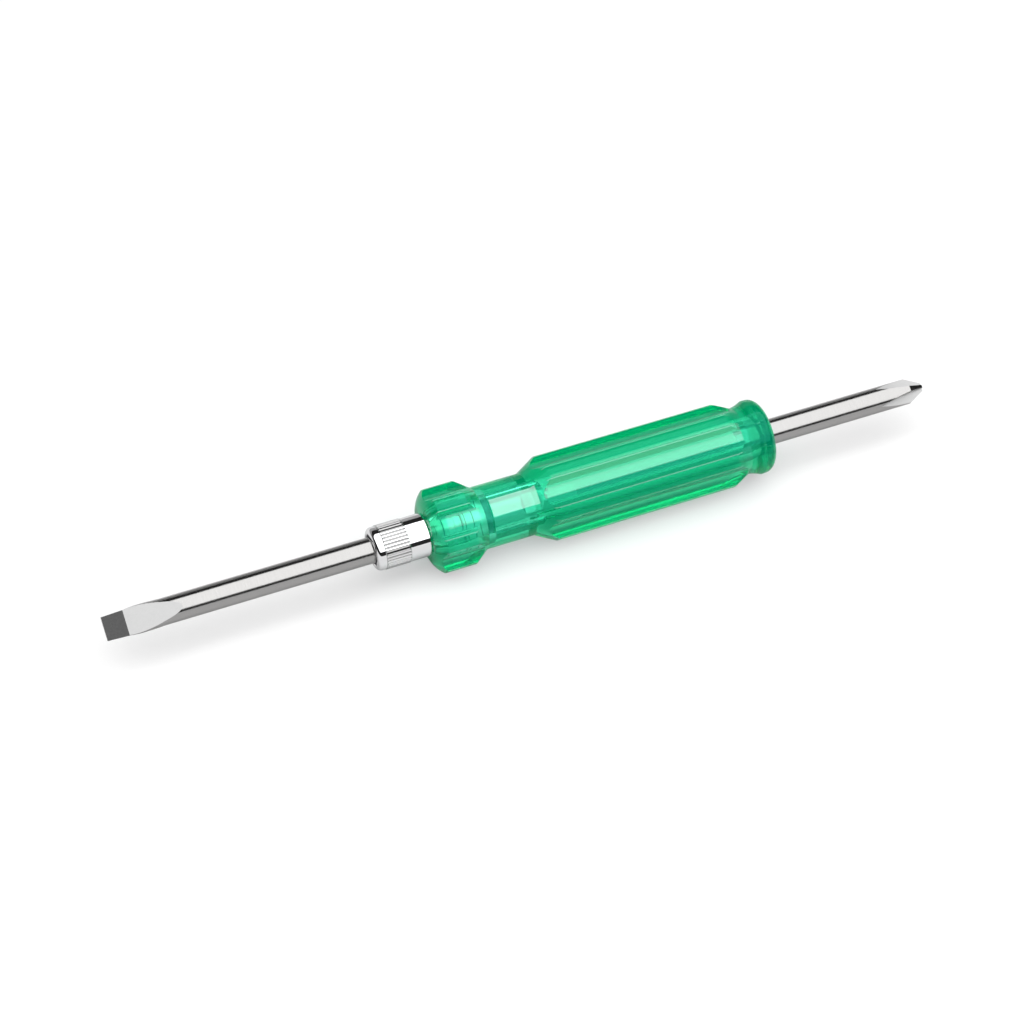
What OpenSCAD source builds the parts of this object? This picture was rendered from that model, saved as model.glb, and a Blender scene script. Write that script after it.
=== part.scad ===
// Two-in-one reversible screwdriver, lying on a flat surface.
// X runs along the blade from the slotted tip (-X) to the cross tip (+X), Z is up.
// The origin is under the middle of the blade, on the surface that the grip lies on.
// Angles round the blade are counted from -Y towards +Z.

/* [Blade] */
// Length of the bar from tip to tip
blade_len = 200; // [170:1:260]
// Diameter of the round bar
blade_d = 6; // [5.5:0.1:6.2]
// Length of blade in front of the handle
blade_out = 74.6; // [60:0.1:80]
// Angle of the slotted tip's flat face
blade_turn = 51; // [0:1:90]

/* [Slotted tip] */
// Width of the end edge
tip_w = 5.4; // [4.5:0.1:5.8]
// Thickness of the end edge
tip_t = 0.9; // [0.6:0.1:1.2]
// Length of the dark ground band
band_len = 4.9; // [3:0.1:6]
// Width where the band ends
band_w = 5.8; // [5:0.1:6]
// Thickness where the band ends
band_t = 1.0; // [0.8:0.1:1.4]
// Widest place of the forged flare, from the end edge
flare_at = 7.8; // [6.5:0.1:9]
// Width of the forged flare
flare_w = 6.3; // [6.2:0.05:6.35]
// Place where the flare has died out, from the end edge
flare_len = 13; // [10:0.1:15]
// Length of the ground flats
grind_len = 17.4; // [15:0.1:20]

/* [Cross tip] */
// Length of the point's cone
point_len = 3.9; // [3:0.1:5]
// Diameter of the point's end flat
point_flat_d = 2; // [1.4:0.1:2.6]
// Length of the four milled valleys
valley_len = 11.8; // [9:0.1:14]
// Angle between the two walls of a valley
valley_angle = 92; // [85:1:100]
// Radius left between the valley floors where they are deepest
valley_core_r = 0.5; // [0.4:0.05:0.9]
// Distance past the tip where the valleys would be deepest
valley_past = 2; // [1:0.1:4]
// Turn of the cross against the slotted tip's face
cross_turn = 6; // [0:1:45]

/* [Swaged middle] */
// Length of the swaged stretch at mid-length
swage_len = 6.2; // [5:0.1:7]
// Thickness across the two pressed flats
swage_t = 4.6; // [4:0.1:5]
// Length of the slope at each end of the flats and wings
swage_ramp = 0.7; // [0.5:0.1:1]
// How far a drive wing stands out of the bar
wing_out = 0.5; // [0.4:0.05:0.6]
// Thickness of the drive wings
wing_t = 2.2; // [1.6:0.1:2.4]

/* [Handle] */
// Diameter of the handle's flat front face
face_d = 12.4; // [10.2:0.1:13]
// Length of the domed front
dome_len = 2.2; // [1.5:0.1:4]
// Rise of the dome over a straight chamfer
dome_rise = 0.35; // [0.1:0.05:0.8]
// Diameter of the bolster
bolster_d = 19.5; // [18:0.1:19.8]
// Length of the bolster at full diameter
bolster_len = 7.1; // [5:0.1:10]
// Length of the bolster's rear chamfer
bolster_taper = 3.4; // [3:0.1:6]
// Diameter of the round neck
neck_d = 14.5; // [13:0.1:16]
// Length of the neck
neck_len = 11.8; // [8:0.1:14]
// Length of the cone from the neck to the grip
grip_taper = 4.8; // [3:0.1:7]
// Diameter of the grip over its ribs
grip_d = 19.8; // [19.8:0.1:22]
// Length of the grip at full diameter
grip_len = 44.2; // [35:0.1:60]
// Length of the cone from the grip to the tail groove
tail_taper = 4.1; // [2:0.1:5]
// Diameter at the bottom of the tail groove
groove_d = 15.8; // [14.4:0.1:16.4]
// Length of the hollow from the groove up to the end ring
groove_len = 3.4; // [2:0.1:4]
// Diameter of the round end ring
ring_d = 17.6; // [16.5:0.1:18]
// Length of the end ring at full diameter
ring_len = 0.8; // [0.6:0.1:3]
// Radius of the end ring's rounded rim
ring_round = 2.2; // [1:0.1:2.5]

/* [Flutes] */
// Number of flutes round the handle
flute_count = 6; // [5:1:7]
// Share of a flute's pitch that the rib between flutes keeps
rib_share = 0.33; // [0.25:0.01:0.45]
// Depth of a flute below the grip's ribs
flute_depth = 1.4; // [1:0.05:1.7]
// Angle of the flute that faces the viewer
handle_turn = 51; // [0:1:90]

/* [Chuck sleeve] */
// Wall of the thread over the collet's collar
thread_wall = 0.35; // [0.3:0.01:0.5]
// Wall of the shank over the keyways
shank_wall = 0.4; // [0.3:0.05:0.6]
// Length of the shank in the handle
shank_len = 15; // [12:0.1:17]
// Height of the shank's knurl
shank_knurl_out = 0.25; // [0.1:0.05:0.3]
// Length of the shank's knurl
shank_knurl_len = 3; // [2:0.1:4]
// Number of ridges in the shank's knurl
shank_knurl_count = 24; // [18:1:30]
// Depth of the ring grooves
shank_groove_depth = 0.2; // [0.1:0.05:0.3]
// Width of a ring groove
shank_groove_w = 0.9; // [0.5:0.1:1.2]
// Distance between ring grooves
shank_groove_pitch = 2; // [1.8:0.1:2.4]

/* [Collet] */
// Length of the jaws in front of the sleeve
jaw_len = 4.5; // [4:0.1:5]
// Wall of the collar over the keyways
collar_wall = 0.3; // [0.2:0.05:0.5]
// Length of the collar that sits in the sleeve
collar_len = 3.8; // [3:0.1:4.5]
// Width of the two narrow slits
slit_w = 0.8; // [0.5:0.1:1]
// Length of the narrow slits in the collar
slit_in = 1.5; // [1:0.1:2]
// Width of the lug that keeps the collet from turning
lug_w = 1; // [0.8:0.1:1.4]
// Length of the lug
lug_len = 1.4; // [1:0.1:2]

/* [Chuck nut] */
// Length of the nut
nut_len = 12.8; // [12:0.1:14]
// Wall of the smooth band over the thread
nut_wall = 0.65; // [0.5:0.05:0.8]
// Height of the knurl over the smooth band
knurl_out = 0.125; // [0.05:0.005:0.2]
// Depth of the knurl's grooves
knurl_depth = 0.24; // [0.1:0.01:0.3]
// Number of ridges in the knurl
knurl_count = 40; // [30:1:48]
// Length of the nose in front of the knurl
nose_len = 2; // [1.5:0.1:4]
// Radius of the rounded nose
nose_round = 1.2; // [0.5:0.1:1.3]
// Length of the knurl
knurl_len = 5.9; // [4:0.1:7]
// Thickness of the lip in front of the inner cone
lip_len = 0.9; // [0.6:0.1:1.5]
// Length of the inner cone
cone_len = 3; // [2.5:0.1:3.5]

/* [Fits] */
// Radial clearance of a sliding or turning fit
run_fit = 0.05; // [0.02:0.01:0.08]
// Clearance round the bar's widest place in the bore
bore_fit = 0.1; // [0.05:0.01:0.15]
// Clearance round the wings in their keyways
key_fit = 0.1; // [0.05:0.01:0.15]
// Clearance round the wings in the nut's mouth
mouth_fit = 0.125; // [0.1:0.005:0.2]
// Clearance round the jaws in the nut
jaw_fit = 0.15; // [0.1:0.01:0.2]
// Distance from the nut's lip to the jaws
jaw_lead = 0.25; // [0.1:0.05:0.4]
// Gap between flat faces that press together in use
face_gap = 0.05; // [0.02:0.01:0.1]
// Clearance between the collet's cone and the nut's
cone_gap = 0.08; // [0.05:0.01:0.1]

/* [Hidden] */
$fn = 96;

// One overrun for every cut
over = 0.6;
// Segments in a bowed stretch of an outline
bow_steps = 8;
// A knurl ridge's half pitch in steps
ridge_steps = 2;
// A valley cutter's depth as a share of the bar's diameter
cutter_share = 0.75;
// Rise of the groove's hollow and of the ring's crown
groove_rise = 0.18;
crown_rise = 0.03;
// Rise of the flare's front and rear curves
flare_rise = 0.04;

bolster_r = bolster_d / 2;
neck_r = neck_d / 2;
grip_r = grip_d / 2;
groove_r = groove_d / 2;
ring_r = ring_d / 2;

// The chuck is built outwards from the bar, its widest place and its wings
blade_r = blade_d / 2;
widest_r = max(blade_d, flare_w, band_w, tip_w) / 2;
wing_r = blade_r + wing_out;
bore_r = widest_r + bore_fit;
key_r = wing_r + key_fit;
key_w = wing_t + 2 * key_fit;
hollow_r = max(bore_r, key_r);
shank_r = hollow_r + shank_wall;
shank_knurl_r = shank_r + shank_knurl_out;
collar_r = hollow_r + collar_wall;
collar_bore_r = collar_r + run_fit;
thread_r = collar_bore_r + thread_wall;
nut_bore_r = thread_r + run_fit;
nut_r = nut_bore_r + nut_wall;
jaw_r = nut_bore_r - jaw_fit;
mouth_r = max(widest_r, wing_r) + mouth_fit;

// The thread fills the nut behind the jaws
thread_len = nut_len - lip_len - jaw_lead - jaw_len;

// Height of the blade's axis: the lowest rib touches the surface
axis_z = max(bolster_r, grip_r, ring_r);

// Places along the blade, from its middle
tip_x = -blade_len / 2;
face_x = tip_x + blade_out;
sleeve_x = face_x - thread_len;
nut_x = face_x - face_gap - nut_len;
collet_x = sleeve_x - face_gap - jaw_len;
wing_stop_x = swage_len / 2 + face_gap;
cone_x = nut_x + lip_len;

// Places along the handle, from its front face
bolster_z = dome_len;
bolster_end_z = bolster_z + bolster_len;
neck_z = bolster_end_z + bolster_taper;
neck_end_z = neck_z + neck_len;
grip_z = neck_end_z + grip_taper;
grip_end_z = grip_z + grip_len;
groove_z = grip_end_z + tail_taper;
ring_z = groove_z + groove_len;
ring_end_z = ring_z + ring_len;
handle_len = ring_end_z + ring_round;

// A flute is a round cut through the corners of its ribs and down to its depth
flute_half = 180 / flute_count * (1 - rib_share);
flute_sag = grip_r * cos(flute_half) - (grip_r - flute_depth);
flute_chord = grip_r * sin(flute_half);
flute_r = (flute_chord * flute_chord + flute_sag * flute_sag) / (2 * flute_sag);
flute_at = grip_r - flute_depth + flute_r;

// A valley is cut by a wheel with a V edge
valley_run = valley_len + valley_past;
valley_drop = blade_r - valley_core_r;
wheel_r = (valley_run * valley_run + valley_drop * valley_drop) / (2 * valley_drop);
cutter_depth = blade_d * cutter_share;

// Puts a shape drawn along Z, with its section in X and Y, along X at height axis_z
module along_axis(x, turn = 0) {
  translate([x, 0, axis_z])
    rotate([90, 0, 90])
      rotate(-turn)
        children();
}

// Points of an arc from p to q that bulges by rise to the left of the line
function bow(p, q, rise) =
  let (
    chord = norm(q - p),
    bulge = abs(rise),
    r = (chord * chord / 4 + bulge * bulge) / (2 * bulge),
    way = (q - p) / chord,
    left = sign(rise) * [-way[1], way[0]],
    middle = (p + q) / 2 - left * (r - bulge),
    half = asin(chord / (2 * r))
  )
  [for (i = [0 : bow_steps])
    let (a = half * (2 * i / bow_steps - 1))
    middle + r * (left * cos(a) + way * sin(a))];

// A bored ring or rod between two places along Z
module tube(r, z0, z1) {
  translate([0, 0, z0])
    cylinder(r = r, h = z1 - z0);
}

// A straight knurl: a many-toothed outline along Z
module knurl(crest_r, root_r, ridges, z0, z1) {
  step = 360 / (ridges * ridge_steps);
  translate([0, 0, z0])
    linear_extrude(height = z1 - z0)
      polygon([for (i = [0 : ridges * ridge_steps - 1])
        let (r = i % ridge_steps == 0 ? crest_r : root_r)
        [r * cos(i * step), r * sin(i * step)]]);
}

// The two keyways that let the drive wings through, across the section's Y
module keyways(z0, z1) {
  translate([-key_w / 2, -key_r, z0])
    cube([key_w, 2 * key_r, z1 - z0]);
}

// Outline of the handle from its front face to its tail, as radius and length
function handle_outline() = concat(
  [[0, 0]],
  bow([face_d / 2, 0], [bolster_r, bolster_z], -dome_rise),
  [[bolster_r, bolster_end_z],
   [neck_r, neck_z],
   [neck_r, neck_end_z],
   [grip_r, grip_z],
   [grip_r, grip_end_z]],
  bow([groove_r, groove_z], [ring_r, ring_z], groove_rise),
  bow([ring_r, ring_z], [ring_r, ring_end_z], -crown_rise),
  [for (a = [0 : 90 / bow_steps : 90])
    [ring_r - ring_round + ring_round * cos(a), ring_end_z + ring_round * sin(a)]],
  [[0, handle_len]]
);

module handle() {
  color([0.05, 0.72, 0.45, 0.75])
    along_axis(face_x, handle_turn)
      difference() {
        rotate_extrude()
          polygon(handle_outline());
        for (i = [0 : flute_count - 1])
          rotate(i * 360 / flute_count)
            translate([-flute_at, 0, -over])
              cylinder(r = flute_r, h = groove_z + over);
        tube(shank_knurl_r + run_fit, -over, shank_len);
        tube(bore_r, -over, handle_len + over);
        rotate(handle_turn - blade_turn)
          keyways(-over, wing_stop_x - face_x);
      }
}

module chuck_sleeve() {
  color("lightsteelblue")
    along_axis(face_x, blade_turn)
      difference() {
        union() {
          tube(thread_r, -thread_len, 0);
          tube(shank_r, 0, shank_len - face_gap);
          knurl(shank_knurl_r, shank_r, shank_knurl_count, 0, shank_knurl_len);
        }
        for (i = [1 : 2])
          translate([0, 0, shank_knurl_len + i * shank_groove_pitch])
            difference() {
              cylinder(r = shank_r + over, h = shank_groove_w);
              tube(shank_r - shank_groove_depth, -over, shank_groove_w + over);
            }
        tube(bore_r, -thread_len - over, shank_len);
        tube(collar_bore_r, -thread_len - over, collar_len + face_gap - thread_len);
        keyways(-thread_len - over, shank_len);
        rotate(45)
          translate([0, -lug_w / 2 - run_fit, -thread_len - over])
            cube([thread_r + over, lug_w + 2 * run_fit, lug_len + over + face_gap]);
      }
}

module collet() {
  cone_slope = (nut_bore_r - mouth_r) / cone_len;
  front_r = mouth_r + cone_slope * (collet_x - cone_x) - cone_gap;
  cone_end = (jaw_r - front_r) / cone_slope;
  color("gainsboro")
    along_axis(collet_x, blade_turn)
      difference() {
        union() {
          rotate_extrude()
            polygon([
              [0, 0],
              [front_r, 0],
              [jaw_r, cone_end],
              [jaw_r, jaw_len],
              [collar_r, jaw_len],
              [collar_r, jaw_len + collar_len],
              [0, jaw_len + collar_len]
            ]);
          rotate(45)
            translate([0, -lug_w / 2, jaw_len - face_gap])
              cube([jaw_r, lug_w, lug_len]);
        }
        tube(blade_r + run_fit / 2, -over, jaw_len + collar_len + over);
        keyways(-over, jaw_len + collar_len + over);
        translate([-key_w / 2, -jaw_r - over, -over])
          cube([key_w, 2 * (jaw_r + over), jaw_len - face_gap + over]);
        translate([-jaw_r - over, -slit_w / 2, -over])
          cube([2 * (jaw_r + over), slit_w, jaw_len + slit_in + over]);
      }
}

module chuck_nut() {
  knurl_z = nose_len;
  smooth_z = nose_len + knurl_len;
  color("whitesmoke")
    along_axis(nut_x)
      difference() {
        union() {
          rotate_extrude()
            polygon(concat(
              [[0, 0]],
              [for (a = [0 : 90 / bow_steps : 90])
                [nut_r - nose_round + nose_round * sin(a), nose_round - nose_round * cos(a)]],
              [[nut_r, nut_len], [0, nut_len]]
            ));
          knurl(nut_r + knurl_out, nut_r + knurl_out - knurl_depth, knurl_count, knurl_z, smooth_z);
        }
        tube(mouth_r, -over, nut_len + over);
        rotate_extrude()
          polygon([
            [0, lip_len],
            [mouth_r, lip_len],
            [nut_bore_r, lip_len + cone_len],
            [nut_bore_r, nut_len + over],
            [0, nut_len + over]
          ]);
      }
}

// The bar's outline from the slotted tip to the cross tip, as radius and length
function blade_outline() = concat(
  [[0, 0], [tip_w / 2, 0]],
  bow([band_w / 2, band_len], [flare_w / 2, flare_at], -flare_rise),
  bow([flare_w / 2, flare_at], [blade_r, flare_len], -flare_rise),
  [[blade_r, blade_len - point_len],
   [point_flat_d / 2, blade_len],
   [0, blade_len]]
);

// Half of the side view: the ground flats of the tip and the pressed flats of the middle
function flat_outline() =
  let (
    clear = blade_r + over,
    grind_slope = (blade_r - band_t / 2) / (grind_len - band_len),
    middle = blade_len / 2
  )
  [[tip_t / 2, -over],
   [tip_t / 2, 0],
   [band_t / 2, band_len],
   [clear, grind_len + over / grind_slope],
   [clear, middle - swage_len / 2 - swage_ramp],
   [swage_t / 2, middle - swage_len / 2 + swage_ramp],
   [swage_t / 2, middle + swage_len / 2 - swage_ramp],
   [clear, middle + swage_len / 2 + swage_ramp],
   [clear, blade_len + over]];

module drive_wings() {
  z0 = blade_len / 2 - swage_len / 2;
  z1 = z0 + swage_len;
  intersection() {
    rotate_extrude()
      polygon([
        [0, z0],
        [blade_r - run_fit, z0],
        [wing_r, z0 + swage_ramp],
        [wing_r, z1 - swage_ramp],
        [blade_r - run_fit, z1],
        [0, z1]
      ]);
    translate([-wing_t / 2, -2 * wing_r, z0])
      cube([wing_t, 4 * wing_r, swage_len]);
  }
}

module valley_cutter() {
  half_width = cutter_depth * tan(valley_angle / 2);
  translate([valley_core_r + wheel_r, 0, blade_len + valley_past])
    rotate([90, 0, 0])
      rotate_extrude()
        polygon([
          [wheel_r, 0],
          [wheel_r - cutter_depth, half_width],
          [wheel_r - cutter_depth, -half_width]
        ]);
}

module blade() {
  sides = flat_outline();
  mirrored = [for (i = [len(sides) - 1 : -1 : 0]) [-sides[i][0], sides[i][1]]];
  color("silver")
    along_axis(tip_x, blade_turn)
      difference() {
        union() {
          intersection() {
            rotate_extrude()
              polygon(blade_outline());
            rotate([90, 0, 0])
              linear_extrude(height = 2 * blade_d, center = true)
                polygon(concat(sides, mirrored));
          }
          drive_wings();
        }
        for (i = [0 : 3])
          rotate(i * 90 + 45 - cross_turn)
            valley_cutter();
      }
}

handle();
chuck_sleeve();
collet();
chuck_nut();
blade();
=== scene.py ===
import math

import bmesh
import bpy
from mathutils import Matrix, Vector


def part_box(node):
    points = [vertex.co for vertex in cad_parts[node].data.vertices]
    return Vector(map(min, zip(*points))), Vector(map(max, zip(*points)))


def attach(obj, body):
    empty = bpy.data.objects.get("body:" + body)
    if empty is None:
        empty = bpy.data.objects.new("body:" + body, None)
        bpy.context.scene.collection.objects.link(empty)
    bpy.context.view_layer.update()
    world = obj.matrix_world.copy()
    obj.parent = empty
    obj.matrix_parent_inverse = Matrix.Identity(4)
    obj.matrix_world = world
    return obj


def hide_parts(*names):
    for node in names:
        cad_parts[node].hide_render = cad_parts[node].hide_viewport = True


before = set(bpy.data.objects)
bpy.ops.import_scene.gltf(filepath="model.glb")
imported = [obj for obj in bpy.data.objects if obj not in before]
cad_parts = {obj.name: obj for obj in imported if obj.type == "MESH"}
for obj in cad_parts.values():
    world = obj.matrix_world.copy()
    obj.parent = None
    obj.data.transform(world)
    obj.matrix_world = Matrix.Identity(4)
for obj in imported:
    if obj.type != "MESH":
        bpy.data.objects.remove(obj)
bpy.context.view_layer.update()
scene = bpy.context.scene
print("frame loaded")

mm = 0.001
endGap = 1.0  # how far a cutter runs past what it cuts, in mm
weldDist = 0.0001  # points nearer than this, in mm, are one point

# The blade's axis lies half the handle's height above the floor. The three front ends are at these places
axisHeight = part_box("handle")[1].z / 2
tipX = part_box("blade")[0].x
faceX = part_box("handle")[0].x
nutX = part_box("chuck_nut")[0].x


# Shapes are drawn in mm round local Z, then laid along the blade's axis
def layAlongAxis(startX, turn=0.0):
    swap = Matrix(((0, 0, 1, 0), (1, 0, 0, 0), (0, 1, 0, 0), (0, 0, 0, 1)))
    return (Matrix.Translation((startX, 0, axisHeight)) @ swap
            @ Matrix.Rotation(math.radians(-turn), 4, "Z") @ Matrix.Scale(mm, 4))


def arcPoints(centre, radius, startAngle, endAngle, steps):
    angles = [math.radians(startAngle + (endAngle - startAngle) * i / steps) for i in range(steps + 1)]
    return [(centre[0] + radius * math.cos(a), centre[1] + radius * math.sin(a)) for a in angles]


# A shallow bow between two outline points, raised to the left of the line
def bowPoints(start, end, rise, steps=8):
    p, q = Vector(start), Vector(end)
    side = Vector((q.y - p.y, p.x - q.x)).normalized() * -rise
    shares = [i / steps for i in range(steps + 1)]
    return [tuple(p.lerp(q, share) + side * 4 * share * (1 - share)) for share in shares]


def spinOutline(outline, steps, closed=False):
    bm = bmesh.new()
    verts = [bm.verts.new((r, 0, z)) for r, z in outline]
    edges = [bm.edges.new(pair) for pair in zip(verts, verts[1:])]
    if closed:
        edges.append(bm.edges.new((verts[-1], verts[0])))
    bmesh.ops.spin(bm, geom=verts + edges, cent=(0, 0, 0), axis=(0, 0, 1),
                   angle=math.tau, steps=steps, use_merge=True)
    bmesh.ops.remove_doubles(bm, verts=bm.verts, dist=weldDist)
    bmesh.ops.recalc_face_normals(bm, faces=bm.faces)
    return bm


# A flat outline in local X and Z, made as thick as asked along local Y
def slabOutline(outline, thickness):
    bm = bmesh.new()
    face = bm.faces.new([bm.verts.new((x, -thickness / 2, z)) for x, z in outline])
    grown = bmesh.ops.extrude_face_region(bm, geom=[face])
    moved = [g for g in grown["geom"] if isinstance(g, bmesh.types.BMVert)]
    bmesh.ops.translate(bm, verts=moved, vec=(0, thickness, 0))
    bmesh.ops.recalc_face_normals(bm, faces=bm.faces)
    return bm


# A block with its centre on the axis, as wide and high as asked and reaching from one length to another
def makeBlock(width, height, start, end):
    bm = bmesh.new()
    bmesh.ops.create_cube(bm, size=1)
    bmesh.ops.scale(bm, verts=bm.verts, vec=(width, height, end - start))
    bmesh.ops.translate(bm, verts=bm.verts, vec=(0, 0, (start + end) / 2))
    return bm


def turnShape(bm, degrees, axis="Z"):
    turn = Matrix.Rotation(math.radians(degrees), 3, axis)
    bmesh.ops.rotate(bm, verts=bm.verts, cent=(0, 0, 0), matrix=turn)


def makeObject(bm, name):
    mesh = bpy.data.meshes.new(name)
    bm.to_mesh(mesh)
    bm.free()
    shape = bpy.data.objects.new(name, mesh)
    scene.collection.objects.link(shape)
    return shape


def useTool(shape, tool, operation):
    cut = shape.modifiers.new("cut", "BOOLEAN")
    cut.operation, cut.solver, cut.object = operation, "EXACT", tool
    bpy.context.view_layer.update()
    done = bpy.data.meshes.new_from_object(shape.evaluated_get(bpy.context.evaluated_depsgraph_get()))
    shape.modifiers.clear()
    old, shape.data = shape.data, done
    bpy.data.meshes.remove(old)
    oldTool = tool.data
    bpy.data.objects.remove(tool)
    bpy.data.meshes.remove(oldTool)


# Welds and shades a shape, lays it in place and tells the frame what it is
def finishPiece(shape, name, place, body, nodes, materials, sharpAngle, pick=None):
    bm = bmesh.new()
    bm.from_mesh(shape.data)
    bmesh.ops.remove_doubles(bm, verts=bm.verts, dist=2 * weldDist)
    bmesh.ops.dissolve_degenerate(bm, edges=bm.edges, dist=weldDist)
    for face in bm.faces:
        face.smooth = True
        face.material_index = pick(face) if pick else 0
    limit = math.radians(sharpAngle)
    for edge in bm.edges:
        faces = edge.link_faces
        if len(faces) == 2:
            sameFinish = faces[0].material_index == faces[1].material_index
            edge.smooth = sameFinish and edge.calc_face_angle(0) < limit
    shape.name = shape.data.name = name
    shape.data.materials.clear()
    for material in materials:
        shape.data.materials.append(material)
    bm.transform(place)
    bm.to_mesh(shape.data)
    bm.free()
    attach(shape, body)
    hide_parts(*nodes)
    return shape


def newMaterial(name):
    material = bpy.data.materials.new(name)
    material.use_nodes = True
    return material, material.node_tree, material.node_tree.nodes["Principled BSDF"]


def link(tree, source, target):
    tree.links.new(source, target)


def mathStep(tree, operation, *terms):
    node = tree.nodes.new("ShaderNodeMath")
    node.operation = operation
    for socket, term in zip(node.inputs, terms):
        if isinstance(term, (int, float)):
            socket.default_value = term
        else:
            link(tree, term, socket)
    return node.outputs[0]


def mixColours(tree, share, low, high):
    node = tree.nodes.new("ShaderNodeMix")
    node.data_type = "RGBA"
    for index, term in ((0, share), (6, low), (7, high)):
        if isinstance(term, tuple):
            node.inputs[index].default_value = (*term, 1)
        else:
            link(tree, term, node.inputs[index])
    return node.outputs[2]


def mixShaders(tree, share, first, second):
    node = tree.nodes.new("ShaderNodeMixShader")
    for socket, source in zip(node.inputs, (share, first, second)):
        link(tree, source, socket)
    return node.outputs[0]


# Grain of worked metal: fine scratches one way, soft patches, and their height
def makeGrainGroup():
    group = bpy.data.node_groups.new("metalGrain", "ShaderNodeTree")
    face = group.interface
    face.new_socket("Place", in_out="INPUT", socket_type="NodeSocketVector")
    for name, value in (("Grain Scale", 400.0), ("Patch Scale", 90.0), ("Contrast", 0.3)):
        face.new_socket(name, in_out="INPUT", socket_type="NodeSocketFloat").default_value = value
    for name in ("Grain", "Patches", "Height"):
        face.new_socket(name, in_out="OUTPUT", socket_type="NodeSocketFloat")
    nodes = group.nodes
    came, out = nodes.new("NodeGroupInput"), nodes.new("NodeGroupOutput")
    grain = nodes.new("ShaderNodeTexNoise")
    grain.inputs["Detail"].default_value, grain.inputs["Roughness"].default_value = 3.0, 0.6
    patches = nodes.new("ShaderNodeTexNoise")
    patches.inputs["Detail"].default_value = 4.0
    for texture, scaleName in ((grain, "Grain Scale"), (patches, "Patch Scale")):
        link(group, came.outputs["Place"], texture.inputs["Vector"])
        link(group, came.outputs[scaleName], texture.inputs["Scale"])
    contrast = came.outputs["Contrast"]
    lowest = mathStep(group, "MULTIPLY_ADD", contrast, -0.5, 0.5)  # keeps the middle grey where it is
    spread = mathStep(group, "MULTIPLY_ADD", grain.outputs["Fac"], contrast, lowest)
    link(group, spread, out.inputs["Grain"])
    link(group, patches.outputs["Fac"], out.inputs["Patches"])
    link(group, grain.outputs["Fac"], out.inputs["Height"])
    return group


grainGroup = makeGrainGroup()


# Steel that was worked one way, round or along the axis, with dark rings of painted shade where asked
def makeSteel(name, look):
    material, tree, shader = newMaterial(name)
    nodes = tree.nodes
    place = nodes.new("ShaderNodeTexCoord")
    stretch = nodes.new("ShaderNodeMapping")
    stretch.inputs["Scale"].default_value = look["grainStretch"]
    grain = nodes.new("ShaderNodeGroup")
    grain.node_tree = grainGroup
    grain.inputs["Grain Scale"].default_value = look["grainScale"]
    grain.inputs["Patch Scale"].default_value = look["patchScale"]
    grain.inputs["Contrast"].default_value = look["grainContrast"]
    link(tree, place.outputs["Object"], stretch.inputs["Vector"])
    link(tree, stretch.outputs["Vector"], grain.inputs["Place"])
    along = nodes.new("ShaderNodeSeparateXYZ")
    link(tree, place.outputs["Object"], along.inputs[0])
    colour = mixColours(tree, grain.outputs["Grain"], look["darkTone"], look["lightTone"])
    for middle, width in look["shadeRings"]:
        onShadeRing = mathStep(tree, "COMPARE", along.outputs["X"], faceX + middle * mm, width / 2 * mm)
        colour = mixColours(tree, onShadeRing, colour, look["shadeRingTone"])
    link(tree, colour, shader.inputs["Base Color"])
    rough = nodes.new("ShaderNodeMapRange")
    rough.inputs["To Min"].default_value, rough.inputs["To Max"].default_value = look["roughness"]
    link(tree, grain.outputs["Patches"], rough.inputs["Value"])
    link(tree, rough.outputs["Result"], shader.inputs["Roughness"])
    bump = nodes.new("ShaderNodeBump")
    bump.inputs["Strength"].default_value = look["bumpStrength"]
    bump.inputs["Distance"].default_value = look["bumpDepth"]
    link(tree, grain.outputs["Height"], bump.inputs["Height"])
    link(tree, bump.outputs["Normal"], shader.inputs["Normal"])
    shader.inputs["Metallic"].default_value = look["metallic"]
    return material


# A ring of painted shade is its place behind the handle's face and its width, in mm
bladeFinish = {
    "grainStretch": (40.0, 1.0, 1.0), "grainScale": 300.0, "patchScale": 120.0, "grainContrast": 0.5,
    "darkTone": (0.34, 0.335, 0.33), "lightTone": (0.47, 0.465, 0.46), "roughness": (0.14, 0.21),
    "bumpStrength": 0.15, "bumpDepth": 0.00003, "metallic": 1.0,
    "shadeRings": [], "shadeRingTone": (0.1, 0.1, 0.1),
}
groundFinish = dict(
    bladeFinish, grainStretch=(2.0, 30.0, 30.0),
    darkTone=(0.34, 0.34, 0.34), lightTone=(0.47, 0.47, 0.47), roughness=(0.34, 0.46))
bandFinish = dict(
    bladeFinish, grainStretch=(1.0, 1.0, 1.0), grainScale=2600.0,
    darkTone=(0.03, 0.03, 0.03), lightTone=(0.11, 0.11, 0.11), roughness=(0.45, 0.6), metallic=0.7)
# A lighter copy of the blade steel for its stretch inside the handle: painted highlight, so the bar shows
# paler through the acetate
insideHighlightFinish = dict(
    bladeFinish, darkTone=(0.5, 0.495, 0.49), lightTone=(0.63, 0.625, 0.62), roughness=(0.25, 0.35))
sleeveFinish = dict(
    bladeFinish, darkTone=(0.7, 0.7, 0.69), lightTone=(0.95, 0.95, 0.94), roughness=(0.3, 0.4),
    # The sleeve's dark rings are painted shade at its grooves and steps
    shadeRings=[(3.1, 0.25), (7.6, 0.3), (8.4, 0.2), (10.3, 0.25), (14.1, 1.5)])
chromeFinish = dict(
    bladeFinish, grainStretch=(1.0, 1.0, 1.0), grainContrast=0.1, bumpStrength=0.02,
    darkTone=(0.86, 0.86, 0.87), lightTone=(0.93, 0.93, 0.94), roughness=(0.04, 0.08))
# Knurl groove faces: rougher chrome whose darker tone is painted shade
grooveShadeFinish = dict(
    chromeFinish, darkTone=(0.42, 0.42, 0.42), lightTone=(0.48, 0.48, 0.48), roughness=(0.3, 0.4))
# Near-black steel for the collet, painted shade inside the nut's mouth
colletShadeFinish = dict(
    bladeFinish, darkTone=(0.05, 0.05, 0.05), lightTone=(0.09, 0.09, 0.09), roughness=(0.4, 0.5))

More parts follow.
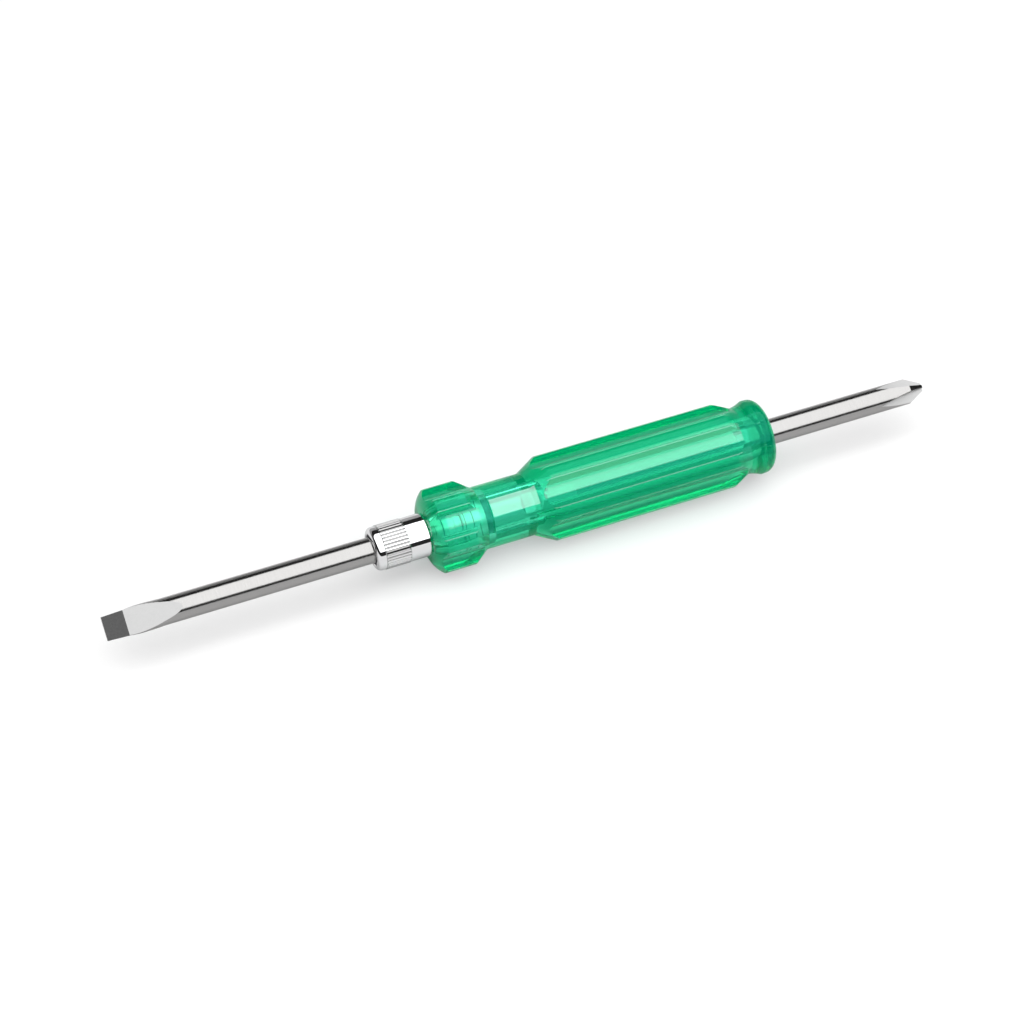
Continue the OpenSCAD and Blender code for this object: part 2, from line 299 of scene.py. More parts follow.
bladeSteel = makeSteel("bladeSteel", bladeFinish)
groundSteel = makeSteel("groundSteel", groundFinish)
bandSteel = makeSteel("darkBandSteel", bandFinish)
insideHighlightSteel = makeSteel("bladeSteelPaintedHighlight", insideHighlightFinish)
sleeveSteel = makeSteel("sleeveSteel", sleeveFinish)
chromePlate = makeSteel("chromePlate", chromeFinish)
grooveShadeChrome = makeSteel("grooveShadeChrome", grooveShadeFinish)
colletShadeSteel = makeSteel("colletShadeSteel", colletShadeFinish)
print("metals made")

# Lengths from the handle's face, radii and depths, all in mm, and turns in degrees
handleSizes = {
    "length": 84.0, "faceR": 6.2, "domeLength": 2.2, "domeRise": 0.35, "bolsterR": 9.75, "bolsterEnd": 9.3,
    "neckStart": 12.7, "neckR": 7.25, "neckEnd": 24.5, "gripStart": 29.3, "gripR": 9.9, "gripEnd": 73.5,
    "grooveAt": 77.6, "grooveR": 7.9, "grooveRise": 0.18, "ringAt": 81.0, "ringR": 8.8, "ringEnd": 81.8,
    "rimRound": 2.2, "rimSteps": 10, "boreR": 3.25, "socketR": 4.3, "socketLength": 15.0,
    "keyR": 3.6, "keyWidth": 2.4, "keyEnd": 28.55, "turn": 51.0, "turnSteps": 144, "sharpAngle": 24,
    "fluteCount": 6, "ribShare": 0.33, "fluteDepth": 1.4, "fluteSteps": 12, "ribSteps": 4,
    "cornerRound": 0.35, "cornerSteps": 4, "cornerAngle": 20,
    "spare": 0.5, "domeSpare": 1.6,  # the turned body is this much wider, so the bar makes the ribs' tops
    "clearScale": 1.4, "clearRun": 0.3,  # behind the groove the fluted bar grows clear of the ring
}
# Lengths are in metres here. A painted highlight is its start and end in mm, two turns in degrees, and its
# strength
acetateFinish = {
    "surfaceTint": (0.7, 0.98, 0.98), "endTint": (0.5, 0.72, 0.62), "faceReach": 0.0035,
    "ior": 1.47, "roughness": 0.02, "specularTint": (0.1, 0.9, 0.8),
    "bodyColour": (0.22, 0.905, 0.71), "density": 270.0,
    "lightTint": (1.0, 1.0, 1.0), "shadowTint": (1.0, 0.4, 0.6), "boreReach": 0.0045,
    "cloudColour": (0.0, 0.98, 0.5), "cloudShare": 0.16,
    # A pale haze on the bore's upper back half along the grip is a painted highlight
    "boreHighlightColour": (0.95, 0.95, 0.95), "boreHighlightShare": 0.55,
    "boreHighlightFrom": 0.029, "boreHighlightTo": 0.0755, "boreHighlightAngle": 42.0,
    # The rib edges take a paler haze, a painted highlight
    "edgeHighlightColour": (0.6, 1.0, 0.9), "edgeHighlightShare": 0.34, "edgeWave": 0.035, "edgeReach": 0.0093,
    "paintedHighlightColour": (0.95, 0.97, 1.0), "coneMargin": 0.00003,
    # Painted highlights: pale patches on the flutes, neck and bolster that stand in for the lamp's reflection
    "paintedHighlights": [(26.5, 76.0, 104.5, 118.6, 0.06), (26.5, 76.0, 118.6, 133.0, 0.13),
               (14.6, 25.6, 105.5, 138.0, 0.25), (3.6, 11.6, 116.0, 136.0, 0.08)],
    "streakStretch": (60.0, 1800.0, 1800.0), "streakFrom": 0.0785, "streakDetail": 3.0,
    "streakStrength": 0.6, "streakDepth": 0.00005,
}


# Where a point of the handle lies: behind the face, beside and above the axis, and how far out from it
def findPlace(tree):
    place = tree.nodes.new("ShaderNodeTexCoord").outputs["Object"]
    along = tree.nodes.new("ShaderNodeSeparateXYZ")
    fromAxis = tree.nodes.new("ShaderNodeMapping")
    fromAxis.inputs["Location"].default_value = (0, 0, -axisHeight)
    fromAxis.inputs["Scale"].default_value = (0, 1, 1)
    across = tree.nodes.new("ShaderNodeSeparateXYZ")
    reach = tree.nodes.new("ShaderNodeVectorMath")
    reach.operation = "LENGTH"
    link(tree, place, along.inputs[0])
    link(tree, place, fromAxis.inputs["Vector"])
    link(tree, fromAxis.outputs["Vector"], across.inputs[0])
    link(tree, fromAxis.outputs["Vector"], reach.inputs[0])
    y, z = across.outputs["Y"], across.outputs["Z"]
    return {"object": place, "behind": mathStep(tree, "SUBTRACT", along.outputs["X"], faceX), "y": y, "z": z,
            "radius": reach.outputs["Value"], "around": mathStep(tree, "ARCTAN2", z, y)}


# 1 where a value lies between two limits, else 0
def between(tree, value, low, high):
    return mathStep(tree, "COMPARE", value, (low + high) / 2, (high - low) / 2)


# The outer skin, the ring and face that are darker, the bore's upper back half with its painted highlight,
# and the ribs' edges with theirs
def makeMasks(tree, look, s, at):
    skin = mathStep(tree, "GREATER_THAN", at["radius"], look["boreReach"])
    ring = mathStep(tree, "GREATER_THAN", at["behind"], look["streakFrom"])
    face = mathStep(tree, "LESS_THAN", at["behind"], look["faceReach"])
    # Along the grip, the bore's upper back half takes a pale haze, a painted highlight
    highlightStretch = between(tree, at["behind"], look["boreHighlightFrom"], look["boreHighlightTo"])
    tilt = math.radians(look["boreHighlightAngle"])
    height = mathStep(tree, "MULTIPLY_ADD", at["y"], math.cos(tilt),
                      mathStep(tree, "MULTIPLY", at["z"], math.sin(tilt)))
    boreHighlight = mathStep(tree, "MULTIPLY", highlightStretch, mathStep(tree, "GREATER_THAN", height, 0.0))
    # The ribs' edges, found from the turn round the axis, take a painted highlight
    turned = mathStep(tree, "ADD", at["around"], math.radians(s["turn"]))
    wave = mathStep(tree, "COSINE", mathStep(tree, "MULTIPLY", turned, s["fluteCount"]))
    cornerWave = math.cos(math.pi * (1 - s["ribShare"]))
    corner = mathStep(tree, "COMPARE", wave, cornerWave, look["edgeWave"])
    farOut = mathStep(tree, "GREATER_THAN", at["radius"], look["edgeReach"])
    below = mathStep(tree, "LESS_THAN", at["z"], 0.0)
    return {"skin": skin, "ring": ring, "end": mathStep(tree, "MAXIMUM", ring, face), "boreHighlight": boreHighlight,
            "edge": mathStep(tree, "MULTIPLY", corner, farOut),
            "underside": mathStep(tree, "MULTIPLY", skin, below)}


# Painted highlights: pale patches on the skin that stand in for the lamp's reflection, as strong as asked.
# Those on the grip keep inside the flute's curved end
def makePaintedHighlight(tree, look, s, at):
    gripSlope = (s["gripR"] - s["neckR"]) / (s["gripStart"] - s["neckEnd"])
    coneStart = (s["neckR"] - gripSlope * s["neckEnd"]) * mm
    coneReach = mathStep(tree, "MULTIPLY_ADD", at["behind"], gripSlope, coneStart)
    belowCone = mathStep(tree, "SUBTRACT", coneReach, at["radius"])
    inFlute = mathStep(tree, "GREATER_THAN", belowCone, look["coneMargin"])
    highlightShare = 0.0
    for start, end, low, high, strength in look["paintedHighlights"]:
        inLength = between(tree, at["behind"], start * mm, end * mm)
        inTurn = between(tree, at["around"], math.radians(low), math.radians(high))
        if start > s["neckEnd"]:
            inLength = mathStep(tree, "MULTIPLY", inLength, inFlute)
        patch = mathStep(tree, "MULTIPLY", inLength, inTurn)
        highlightShare = mathStep(tree, "MULTIPLY_ADD", patch, strength, highlightShare)
    return highlightShare


# Fine turning streaks on the end ring
def addStreaks(tree, look, shader, at, masks):
    stretch = tree.nodes.new("ShaderNodeMapping")
    stretch.inputs["Scale"].default_value = look["streakStretch"]
    streaks = tree.nodes.new("ShaderNodeTexNoise")
    streaks.inputs["Scale"].default_value = 1.0
    streaks.inputs["Detail"].default_value = look["streakDetail"]
    bump = tree.nodes.new("ShaderNodeBump")
    bump.inputs["Distance"].default_value = look["streakDepth"]
    link(tree, at["object"], stretch.inputs["Vector"])
    link(tree, stretch.outputs["Vector"], streaks.inputs["Vector"])
    link(tree, streaks.outputs["Fac"], bump.inputs["Height"])
    link(tree, mathStep(tree, "MULTIPLY", masks["ring"], look["streakStrength"]), bump.inputs["Strength"])
    link(tree, bump.outputs["Normal"], shader.inputs["Normal"])


# A matt haze in front of the clear surface: thin all over, and thicker where painted highlights lie on the
# rib edges, the pale skin patches and the bore's upper back half
def addHaze(tree, look, shader, masks, highlightShare):
    haze = tree.nodes.new("ShaderNodeBsdfDiffuse")
    skinShare = mathStep(tree, "ADD", highlightShare, look["cloudShare"])
    highlightPart = mathStep(tree, "DIVIDE", highlightShare, skinShare)
    skinColour = mixColours(tree, highlightPart, look["cloudColour"], look["paintedHighlightColour"])
    skinColour = mixColours(tree, masks["edge"], skinColour, look["edgeHighlightColour"])
    link(tree, mixColours(tree, masks["skin"], look["boreHighlightColour"], skinColour), haze.inputs["Color"])
    edgeHighlightMore = look["edgeHighlightShare"] - look["cloudShare"]
    skinShare = mathStep(tree, "MULTIPLY_ADD", masks["edge"], edgeHighlightMore, skinShare)
    inBore = mathStep(tree, "SUBTRACT", 1.0, masks["skin"])
    boreHighlightShare = mathStep(tree, "MULTIPLY", masks["boreHighlight"], look["boreHighlightShare"])
    share = mathStep(tree, "MULTIPLY_ADD", masks["skin"], skinShare,
                     mathStep(tree, "MULTIPLY", inBore, boreHighlightShare))
    return mixShaders(tree, share, shader.outputs[0], haze.outputs[0])


# Clear green acetate. Shadow and diffuse rays go straight through it, and the underside tints them
def makeAcetate(look, s):
    material, tree, shader = newMaterial("greenAcetate")
    at = findPlace(tree)
    masks = makeMasks(tree, look, s, at)
    tint = mixColours(tree, masks["end"], look["surfaceTint"], look["endTint"])
    link(tree, tint, shader.inputs["Base Color"])
    shader.inputs["Transmission Weight"].default_value = 1.0
    shader.inputs["IOR"].default_value = look["ior"]
    shader.inputs["Roughness"].default_value = look["roughness"]
    shader.inputs["Specular Tint"].default_value = (*look["specularTint"], 1)
    addStreaks(tree, look, shader, at, masks)
    hazy = addHaze(tree, look, shader, masks, makePaintedHighlight(tree, look, s, at))
    clear = tree.nodes.new("ShaderNodeBsdfTransparent")
    passTint = mixColours(tree, masks["underside"], look["lightTint"], look["shadowTint"])
    link(tree, passTint, clear.inputs["Color"])
    ray = tree.nodes.new("ShaderNodeLightPath")
    passing = mathStep(tree, "MAXIMUM", ray.outputs["Is Shadow Ray"], ray.outputs["Is Diffuse Ray"])
    out = tree.nodes["Material Output"]
    link(tree, mixShaders(tree, passing, hazy, clear.outputs[0]), out.inputs["Surface"])
    body = tree.nodes.new("ShaderNodeVolumeAbsorption")
    body.inputs["Color"].default_value = (*look["bodyColour"], 1)
    body.inputs["Density"].default_value = look["density"]
    link(tree, body.outputs[0], out.inputs["Volume"])
    return material


greenAcetate = makeAcetate(acetateFinish, handleSizes)
print("acetate made")


# The handle is a turned body that a fluted bar cuts down to its ribs
def makeHandleBody(s):
    spare = s["spare"]
    bolsterSlope = (s["bolsterR"] - s["neckR"]) / (s["neckStart"] - s["bolsterEnd"])
    gripSlope = (s["gripR"] - s["neckR"]) / (s["gripStart"] - s["neckEnd"])
    tailSlope = (s["gripR"] - s["grooveR"]) / (s["grooveAt"] - s["gripEnd"])
    domeSlope = (s["bolsterR"] - s["faceR"]) / s["domeLength"]
    outline = [(s["boreR"], s["socketLength"]), (s["socketR"], s["socketLength"]), (s["socketR"], 0)]
    outline += bowPoints((s["faceR"], 0), (s["bolsterR"], s["domeLength"]), -s["domeRise"])
    outline += [(s["bolsterR"] + spare, s["domeLength"] + s["domeSpare"] * spare / domeSlope),
                (s["bolsterR"] + spare, s["bolsterEnd"] - spare / bolsterSlope),
                (s["neckR"], s["neckStart"]), (s["neckR"], s["neckEnd"]),
                (s["gripR"] + spare, s["gripStart"] + spare / gripSlope),
                (s["gripR"] + spare, s["gripEnd"] - spare / tailSlope)]
    outline += bowPoints((s["grooveR"], s["grooveAt"]), (s["ringR"], s["ringAt"]), s["grooveRise"])
    outline += arcPoints((s["ringR"] - s["rimRound"], s["ringEnd"]), s["rimRound"], 0, 90, s["rimSteps"])
    outline += [(s["boreR"], s["length"])]
    return spinOutline(outline, s["turnSteps"], closed=True)


# The bar's cross-section: flutes and ribs in turn, with the corners between them rounded
def makeFluteFace(s):
    half = math.pi / s["fluteCount"] * (1 - s["ribShare"])
    ribHalf = math.pi / s["fluteCount"] - half
    sag = s["gripR"] * math.cos(half) - (s["gripR"] - s["fluteDepth"])
    chord = s["gripR"] * math.sin(half)
    fluteR = (chord * chord + sag * sag) / (2 * sag)
    fluteAt = s["gripR"] - s["fluteDepth"] + fluteR
    swing = 2 * math.asin(chord / fluteR)
    bm = bmesh.new()
    last = bm.verts.new((-s["gripR"] * math.cos(half), s["gripR"] * math.sin(half), 0))
    for i in range(s["fluteCount"]):
        middle = math.pi + i * math.tau / s["fluteCount"]
        centre = (fluteAt * math.cos(middle), fluteAt * math.sin(middle), 0)
        arcs = ((centre, -swing, s["fluteSteps"]), ((0, 0, 0), 2 * ribHalf, s["ribSteps"]))
        for arcCentre, angle, steps in arcs:
            turned = bmesh.ops.spin(bm, geom=[last], cent=arcCentre, axis=(0, 0, 1), angle=angle, steps=steps)
            last = turned["geom_last"][0]
    bmesh.ops.remove_doubles(bm, verts=bm.verts, dist=10 * weldDist)
    face = bmesh.ops.edgeloop_fill(bm, edges=bm.edges)["faces"][0]
    sharp = []
    for loop in face.loops:
        before = (loop.vert.co - loop.link_loop_prev.vert.co).normalized()
        after = (loop.link_loop_next.vert.co - loop.vert.co).normalized()
        if before.angle(after) > math.radians(s["cornerAngle"]):
            sharp.append(loop.vert)
    bmesh.ops.bevel(bm, geom=sharp, offset=s["cornerRound"], offset_type="OFFSET", segments=s["cornerSteps"],
                    profile=0.5, affect="VERTICES", material=-1)
    return bm


# The bar has the bolster's size up to the neck, then the grip's, and grows out of the ring's way behind it
def makeFlutedBar(s):
    bm = makeFluteFace(s)
    bolsterScale = s["bolsterR"] / s["gripR"]
    bmesh.ops.translate(bm, verts=bm.verts, vec=(0, 0, -endGap))
    bmesh.ops.scale(bm, verts=bm.verts, vec=(bolsterScale, bolsterScale, 1))
    neckMiddle = (s["neckStart"] + s["neckEnd"]) / 2
    stretches = [(neckMiddle - endGap, 1.0), (neckMiddle + endGap, 1 / bolsterScale), (s["grooveAt"], 1.0),
                 (s["grooveAt"] + s["clearRun"], s["clearScale"]), (s["length"] + endGap, 1.0)]
    at, end = -endGap, bm.faces[:][0]
    for place, grow in stretches:
        grown = bmesh.ops.extrude_face_region(bm, geom=[end])["geom"]
        if at > -endGap:  # only the first face stays, as the bar's front end
            bm.faces.remove(end)
        end = [g for g in grown if isinstance(g, bmesh.types.BMFace)][0]
        bmesh.ops.translate(bm, verts=end.verts[:], vec=(0, 0, place - at))
        bmesh.ops.scale(bm, verts=end.verts[:], vec=(grow, grow, 1))
        at = place
    bmesh.ops.recalc_face_normals(bm, faces=bm.faces)
    return bm


def makeHandle(s):
    shape = makeObject(makeHandleBody(s), "handleBody")
    useTool(shape, makeObject(makeFlutedBar(s), "flutedBar"), "INTERSECT")
    key = makeBlock(s["keyWidth"], 2 * s["keyR"], -endGap, s["keyEnd"])
    useTool(shape, makeObject(key, "keyway"), "DIFFERENCE")
    return finishPiece(shape, "handleAcetate", layAlongAxis(faceX, s["turn"]), "handle",
                       ["handle"], [greenAcetate], s["sharpAngle"])


handle = makeHandle(handleSizes)
print("handle made:", len(handle.data.polygons), "faces")

# Lengths from the slotted tip, radii and thicknesses, all in mm, and turns in degrees
bladeSizes = {
    "length": 200.0, "r": 3.0, "turn": 51.0, "turnSteps": 96, "sharpAngle": 20,
    "tipHalf": 2.7, "tipThick": 0.9, "bandLength": 4.9, "bandHalf": 2.9, "bandThick": 1.0, "grindEnd": 17.4,
    "flareAt": 7.8, "flareR": 3.15, "flareEnd": 13.0, "flareRise": 0.04,
    "swageLength": 6.2, "swageThick": 4.6, "swageRamp": 0.7, "brightHalf": 10.1,
    "wingR": 3.5, "wingThick": 2.2, "wingFoot": 0.05,
    "pointLength": 3.9, "pointR": 1.0, "valleyCount": 4, "valleyLength": 11.8, "valleyAngle": 92.0,
    "valleyCoreR": 0.5, "valleyPast": 2.0, "cutterDepth": 4.5, "crossTurn": 6.0, "wheelSteps": 240,
}
# How the finish of a face is told: its place in mm, shares of the bar's radius, and parts of its normal
bladeLimits = {"skin": 0.001, "past": 0.5, "before": 1.0, "flatShare": 0.999, "groundShare": 0.99,
               "valleyShare": 0.995, "flatNormal": 0.85, "endNormal": 0.4}


# The turned bar with its flared slotted end and pointed cross end
def makeBar(s):
    middle = s["length"] / 2
    outline = [(0, 0), (s["tipHalf"], 0)]
    outline += bowPoints((s["bandHalf"], s["bandLength"]), (s["flareR"], s["flareAt"]), -s["flareRise"])
    outline += bowPoints((s["flareR"], s["flareAt"]), (s["r"], s["flareEnd"]), -s["flareRise"])[1:]
    outline += [(s["r"], middle - s["brightHalf"]), (s["r"], middle + s["brightHalf"])]
    outline += [(s["r"], s["length"] - s["pointLength"]), (s["pointR"], s["length"]), (0, s["length"])]
    return makeObject(spinOutline(outline, s["turnSteps"]), "bar")


# Grinds the two flats of the slotted tip and presses the two of the swaged middle
def cutFlats(shape, s):
    middle, half, ramp = s["length"] / 2, s["swageLength"] / 2, s["swageRamp"]
    wide, clear = 4 * s["r"], s["r"] + endGap
    slope = (s["r"] - s["bandThick"] / 2) / (s["grindEnd"] - s["bandLength"])
    grindClear = s["grindEnd"] + endGap / slope
    pressClear = half + ramp * endGap / (s["r"] - s["swageThick"] / 2)
    grinder = [(s["tipThick"] / 2, -endGap), (s["tipThick"] / 2, 0), (s["bandThick"] / 2, s["bandLength"]),
               (clear, grindClear), (wide, grindClear), (wide, -endGap)]
    press = [(clear, middle - pressClear), (s["swageThick"] / 2, middle - half + ramp),
             (s["swageThick"] / 2, middle + half - ramp), (clear, middle + pressClear),
             (wide, middle + pressClear), (wide, middle - pressClear)]
    for side in (1, -1):
        for outline, name in ((grinder, "grinder"), (press, "press")):
            tool = slabOutline([(side * x, z) for x, z in outline], wide)
            useTool(shape, makeObject(tool, name), "DIFFERENCE")


# The two wings that the press pushes out, which ride in the handle's keyways
def addWings(shape, s):
    middle, half, ramp = s["length"] / 2, s["swageLength"] / 2, s["swageRamp"]
    foot = s["r"] - s["wingFoot"]
    outline = [(0, middle - half), (foot, middle - half), (s["wingR"], middle - half + ramp),
               (s["wingR"], middle + half - ramp), (foot, middle + half), (0, middle + half)]
    wings = makeObject(spinOutline(outline, s["turnSteps"]), "wings")
    reach = half + endGap / 2
    slab = makeBlock(s["wingThick"], 4 * s["r"], middle - reach, middle + reach)
    useTool(wings, makeObject(slab, "wingSlab"), "INTERSECT")
    useTool(shape, wings, "UNION")


# Mills the valleys of the cross tip, each with the rim of a wheel that leaves the bar along an arc
def cutValleys(shape, s):
    run, drop = s["valleyLength"] + s["valleyPast"], s["r"] - s["valleyCoreR"]
    wheelR = (run * run + drop * drop) / (2 * drop)
    halfWidth = s["cutterDepth"] * math.tan(math.radians(s["valleyAngle"] / 2))
    rim = [(wheelR, 0), (wheelR - s["cutterDepth"], halfWidth), (wheelR - s["cutterDepth"], -halfWidth)]
    for i in range(s["valleyCount"]):
        wheel = spinOutline(rim, s["wheelSteps"], closed=True)
        turnShape(wheel, 90, "X")
        bmesh.ops.translate(wheel, verts=wheel.verts,
                            vec=(s["valleyCoreR"] + wheelR, 0, s["length"] + s["valleyPast"]))
        turnShape(wheel, (i + 0.5) * 360 / s["valleyCount"] - s["crossTurn"])
        useTool(shape, makeObject(wheel, "valleyCutter"), "DIFFERENCE")


def makeBlade(s, limits):
    shape = makeBar(s)
    cutFlats(shape, s)
    addWings(shape, s)
    cutValleys(shape, s)
    turned, ground, band, bright = range(4)

    def pickFinish(face):
        centre = face.calc_center_median()
        share, skin = centre.xy.length / s["r"], limits["skin"]
        if skin < centre.z < s["bandLength"]:
            return band
        onFlat = abs(face.normal.x) > limits["flatNormal"] and abs(centre.x) < s["r"] * limits["flatShare"]
        if centre.z < s["grindEnd"] + limits["past"] and onFlat and share < limits["groundShare"]:
            return ground
        # The stretch inside the handle takes the lighter steel, a painted highlight
        if abs(centre.z - s["length"] / 2) < s["brightHalf"]:
            return bright
        inValley = share < limits["valleyShare"] and abs(face.normal.z) < limits["endNormal"]
        valleyStart = s["length"] - s["valleyLength"] - limits["before"]
        if inValley and valleyStart < centre.z < s["length"] - skin:
            return ground
        return turned

    return finishPiece(shape, "bladeBar", layAlongAxis(tipX, s["turn"]), "blade", ["blade"],
                       [bladeSteel, groundSteel, bandSteel, insideHighlightSteel], s["sharpAngle"], pickFinish)


blade = makeBlade(bladeSizes, bladeLimits)
print("blade made:", len(blade.data.polygons), "faces")

# Lengths from the nut's nose and radii, all in mm
nutSizes = {
    "length": 12.8, "r": 5.0, "noseRound": 1.2, "noseSteps": 10, "noseEnd": 2.0, "rearEdge": 0.2,
    "mouthR": 3.625, "mouthEdge": 0.25, "lip": 0.9, "coneLength": 3.0, "boreR": 4.35,
    "knurlEnd": 7.9, "knurlR": 5.125, "edge": 0.12, "ridges": 40, "grooveR": 0.26, "grooveAt": 5.16,
    "grooveTaper": 0.3, "groovePast": 0.05, "grooveSteps": 10, "wall": 0.1, "skin": 0.02,
    "turnSteps": 120, "sharpAngle": 30,
}


# The rounded tools that press the straight knurl, as one shape
def makeKnurlTool(s):
    grooves = bmesh.new()
    bar = [(0, s["noseEnd"] - s["groovePast"]), (s["grooveR"], s["noseEnd"] + s["grooveTaper"]),
           (s["grooveR"], s["knurlEnd"] - s["grooveTaper"]), (0, s["knurlEnd"] + s["groovePast"])]
    for i in range(s["ridges"]):
        groove = spinOutline(bar, s["grooveSteps"])
        bmesh.ops.translate(groove, verts=groove.verts, vec=(s["grooveAt"], 0, 0))
        turnShape(groove, (i + 0.5) * 360 / s["ridges"])
        piece = bpy.data.meshes.new("groove")
        groove.to_mesh(piece)
        groove.free()
        grooves.from_mesh(piece)
        bpy.data.meshes.remove(piece)
    return makeObject(grooves, "knurlTool")


# The chuck nut: a turned shell, coned inside, with a band of straight knurling
def makeNut(s):
    outline = [(s["boreR"], s["length"]), (s["boreR"], s["lip"] + s["coneLength"]), (s["mouthR"], s["lip"]),
               (s["mouthR"], s["mouthEdge"]), (s["mouthR"] + s["mouthEdge"], 0)]
    outline += arcPoints((s["r"] - s["noseRound"], s["noseRound"]), s["noseRound"], -90, 0, s["noseSteps"])
    outline += [(s["r"], s["noseEnd"]), (s["knurlR"], s["noseEnd"] + s["edge"]),
                (s["knurlR"], s["knurlEnd"] - s["edge"]), (s["r"], s["knurlEnd"]),
                (s["r"], s["length"] - s["rearEdge"]), (s["r"] - s["rearEdge"], s["length"])]
    shape = makeObject(spinOutline(outline, s["turnSteps"], closed=True), "nutBody")
    useTool(shape, makeKnurlTool(s), "DIFFERENCE")

    # Faces inside the knurl's grooves take the darker chrome, painted shade
    def pickFinish(face):
        centre = face.calc_center_median()
        inBand = s["noseEnd"] + s["skin"] < centre.z < s["knurlEnd"] - s["skin"]
        inGroove = s["boreR"] + s["wall"] < centre.xy.length < s["knurlR"] - s["skin"]
        return 1 if inBand and inGroove else 0

    return finishPiece(shape, "chuckNutShell", layAlongAxis(nutX), "chuck_nut", ["chuck_nut"],
                       [chromePlate, grooveShadeChrome], s["sharpAngle"], pickFinish)


nut = makeNut(nutSizes)
print("nut made:", len(nut.data.polygons), "faces")

# Lengths behind the handle's face, radii and widths, all in mm, and turns in degrees
sleeveSizes = {
    "threadR": 4.3, "threadLength": 7.15, "threadPitch": 1.0, "threadDepth": 0.3,
    "crestStart": 0.35, "crestEnd": 0.6, "threadRelief": 0.1,
    "shankR": 4.0, "shankEnd": 14.95, "endEdge": 0.2, "knurlR": 4.25, "knurlEnd": 3.0, "knurlEdge": 0.15,
    "grooveR": 3.8, "grooveWidth": 0.9, "groovePitch": 2.0, "grooveEdge": 0.1, "grooveCount": 2,
    "boreR": 3.25, "collarR": 3.95, "collarLength": 3.85, "keyR": 3.6, "keyWidth": 2.4,
    "turn": 51.0, "turnSteps": 96, "sharpAngle": 30,
}


# The chuck sleeve: its thread stands in front of the handle, its shank with two ring grooves sits inside
def makeSleeve(s):
    front, rootR = -s["threadLength"], s["threadR"] - s["threadDepth"] / 2
    collarEnd = front + s["collarLength"]
    outline = [(s["boreR"], s["shankEnd"]), (s["boreR"], collarEnd), (s["collarR"], collarEnd),
               (s["collarR"], front)]
    for i in range(int(s["threadLength"] / s["threadPitch"])):
        start = front + i * s["threadPitch"]
        outline += [(rootR, start), (s["threadR"], start + s["crestStart"]),
                    (s["threadR"], start + s["crestEnd"])]
    outline += [(rootR, -s["threadRelief"]), (rootR, 0), (s["knurlR"], s["knurlEdge"]),
                (s["knurlR"], s["knurlEnd"] - s["knurlEdge"]), (s["shankR"], s["knurlEnd"])]
    for i in range(s["grooveCount"]):
        start = s["knurlEnd"] + (i + 1) * s["groovePitch"]
        end = start + s["grooveWidth"]
        outline += [(s["shankR"], start), (s["grooveR"], start + s["grooveEdge"]),
                    (s["grooveR"], end - s["grooveEdge"]), (s["shankR"], end)]
    outline += [(s["shankR"], s["shankEnd"] - s["endEdge"]), (s["shankR"] - s["endEdge"], s["shankEnd"])]
    shape = makeObject(spinOutline(outline, s["turnSteps"], closed=True), "sleeveBody")
    key = makeBlock(s["keyWidth"], 2 * s["keyR"], front - endGap, s["shankEnd"] + endGap)
    useTool(shape, makeObject(key, "sleeveKeyway"), "DIFFERENCE")
    return finishPiece(shape, "chuckSleeve", layAlongAxis(faceX, s["turn"]), "handle",
                       ["chuck_sleeve"], [sleeveSteel], s["sharpAngle"])


sleeve = makeSleeve(sleeveSizes)
print("sleeve made:", len(sleeve.data.polygons), "faces")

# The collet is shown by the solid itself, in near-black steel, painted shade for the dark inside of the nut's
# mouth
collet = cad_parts["collet"]
collet.data.materials.clear()
collet.data.materials.append(colletShadeSteel)
print("collet dressed")

# A pale floor that turns up into a wall, one large soft light overhead and a dim room, in metres and watts
stageLook = {
    "floorSize": 8.0, "wallPlace": 1.2, "wallHeight": 0.58,
    "floorColour": (0.6, 0.6, 0.6), "floorGlow": 0.325,  # the glow is seen by the camera only
    "roomColour": (0.02, 0.02, 0.02), "roomGlow": 0.6,  # this one only through the clear handle
    "boxSize": (2.7, 2.8), "boxPlace": (0.25, -0.8, 0.9), "boxPower": 47.5,
}


def makeFloor(look):
    bm = bmesh.new()
    side, back = look["floorSize"] / 2, look["wallPlace"]
    rows = [(-side, 0), (back, 0), (back, look["wallHeight"])]
    left = [bm.verts.new((-side, y, z)) for y, z in rows]
    right = [bm.verts.new((side, y, z)) for y, z in rows]
    for i in range(len(rows) - 1):
        bm.faces.new((left[i], right[i], right[i + 1], left[i + 1]))
    floor = makeObject(bm, "floorAndWall")
    material, tree, shader = newMaterial("paleFloor")
    tree.nodes.remove(shader)
    matt = tree.nodes.new("ShaderNodeBsdfDiffuse")
    matt.inputs["Color"].default_value = (*look["floorColour"], 1)
    glow = tree.nodes.new("ShaderNodeEmission")
    ray = tree.nodes.new("ShaderNodeLightPath")
    both = tree.nodes.new("ShaderNodeAddShader")
    level = mathStep(tree, "MULTIPLY", ray.outputs["Is Camera Ray"], look["floorGlow"])
    link(tree, level, glow.inputs["Strength"])
    link(tree, matt.outputs[0], both.inputs[0])
    link(tree, glow.outputs[0], both.inputs[1])
    link(tree, both.outputs[0], tree.nodes["Material Output"].inputs["Surface"])
    floor.data.materials.append(material)


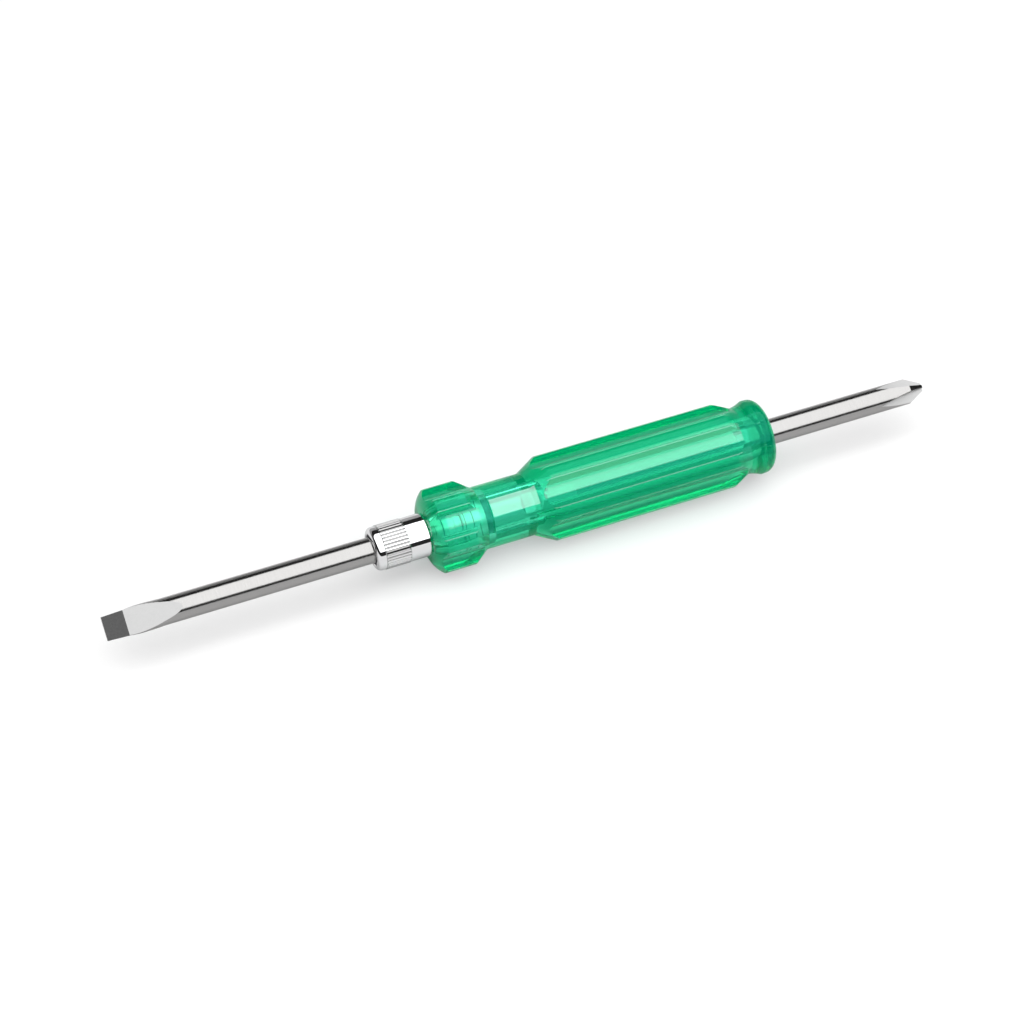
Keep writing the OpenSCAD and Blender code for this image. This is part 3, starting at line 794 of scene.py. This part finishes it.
# Through the handle the room is pale, but not for rays that have already lit a matt surface
def makeRoom(look):
    world = bpy.data.worlds.new("room")
    world.use_nodes = True
    tree = world.node_tree
    dim = tree.nodes["Background"]
    dim.inputs["Color"].default_value = (*look["roomColour"], 1)
    pale = tree.nodes.new("ShaderNodeBackground")
    pale.inputs["Strength"].default_value = look["roomGlow"]
    ray = tree.nodes.new("ShaderNodeLightPath")
    direct = mathStep(tree, "LESS_THAN", ray.outputs["Diffuse Depth"], 0.5)  # a depth of 0, safely rounded
    shown = mathStep(tree, "MULTIPLY", ray.outputs["Is Transmission Ray"], direct)
    air = mixShaders(tree, shown, dim.outputs[0], pale.outputs[0])
    link(tree, air, tree.nodes["World Output"].inputs["Surface"])
    scene.world = world


def makeLight(look):
    lamp = bpy.data.lights.new("overheadBox", "AREA")
    lamp.shape, lamp.size, lamp.size_y = "RECTANGLE", *look["boxSize"]
    lamp.energy = look["boxPower"]
    box = bpy.data.objects.new("overheadBox", lamp)
    box.location = look["boxPlace"]
    scene.collection.objects.link(box)


makeFloor(stageLook)
makeRoom(stageLook)
makeLight(stageLook)

# The camera looks at a point of the blade's axis from above and in front, in degrees, metres and mm of lens
cameraSetup = {"azimuth": -22.6, "elevation": 45.5, "distance": 0.6395, "lens": 99.6, "sensor": 36,
               "aimX": -0.0047, "aimRight": 0.0004, "aimDown": 0.0007}


def makeCamera(c):
    azimuth, elevation = math.radians(c["azimuth"]), math.radians(c["elevation"])
    out, up = math.cos(elevation), math.sin(elevation)
    back = Vector((math.sin(azimuth) * out, -math.cos(azimuth) * out, up))
    turn = back.to_track_quat("Z", "Y")
    aim = Vector((c["aimX"], 0, axisHeight)) + turn @ Vector((c["aimRight"], -c["aimDown"], 0))
    camera = bpy.data.objects.new("camera", bpy.data.cameras.new("camera"))
    camera.data.lens, camera.data.sensor_width = c["lens"], c["sensor"]
    camera.location = aim + back * c["distance"]
    camera.rotation_mode = "QUATERNION"
    camera.rotation_quaternion = turn
    scene.collection.objects.link(camera)
    scene.camera = camera


makeCamera(cameraSetup)
scene.view_settings.view_transform = "Standard"
print("stage and camera made")
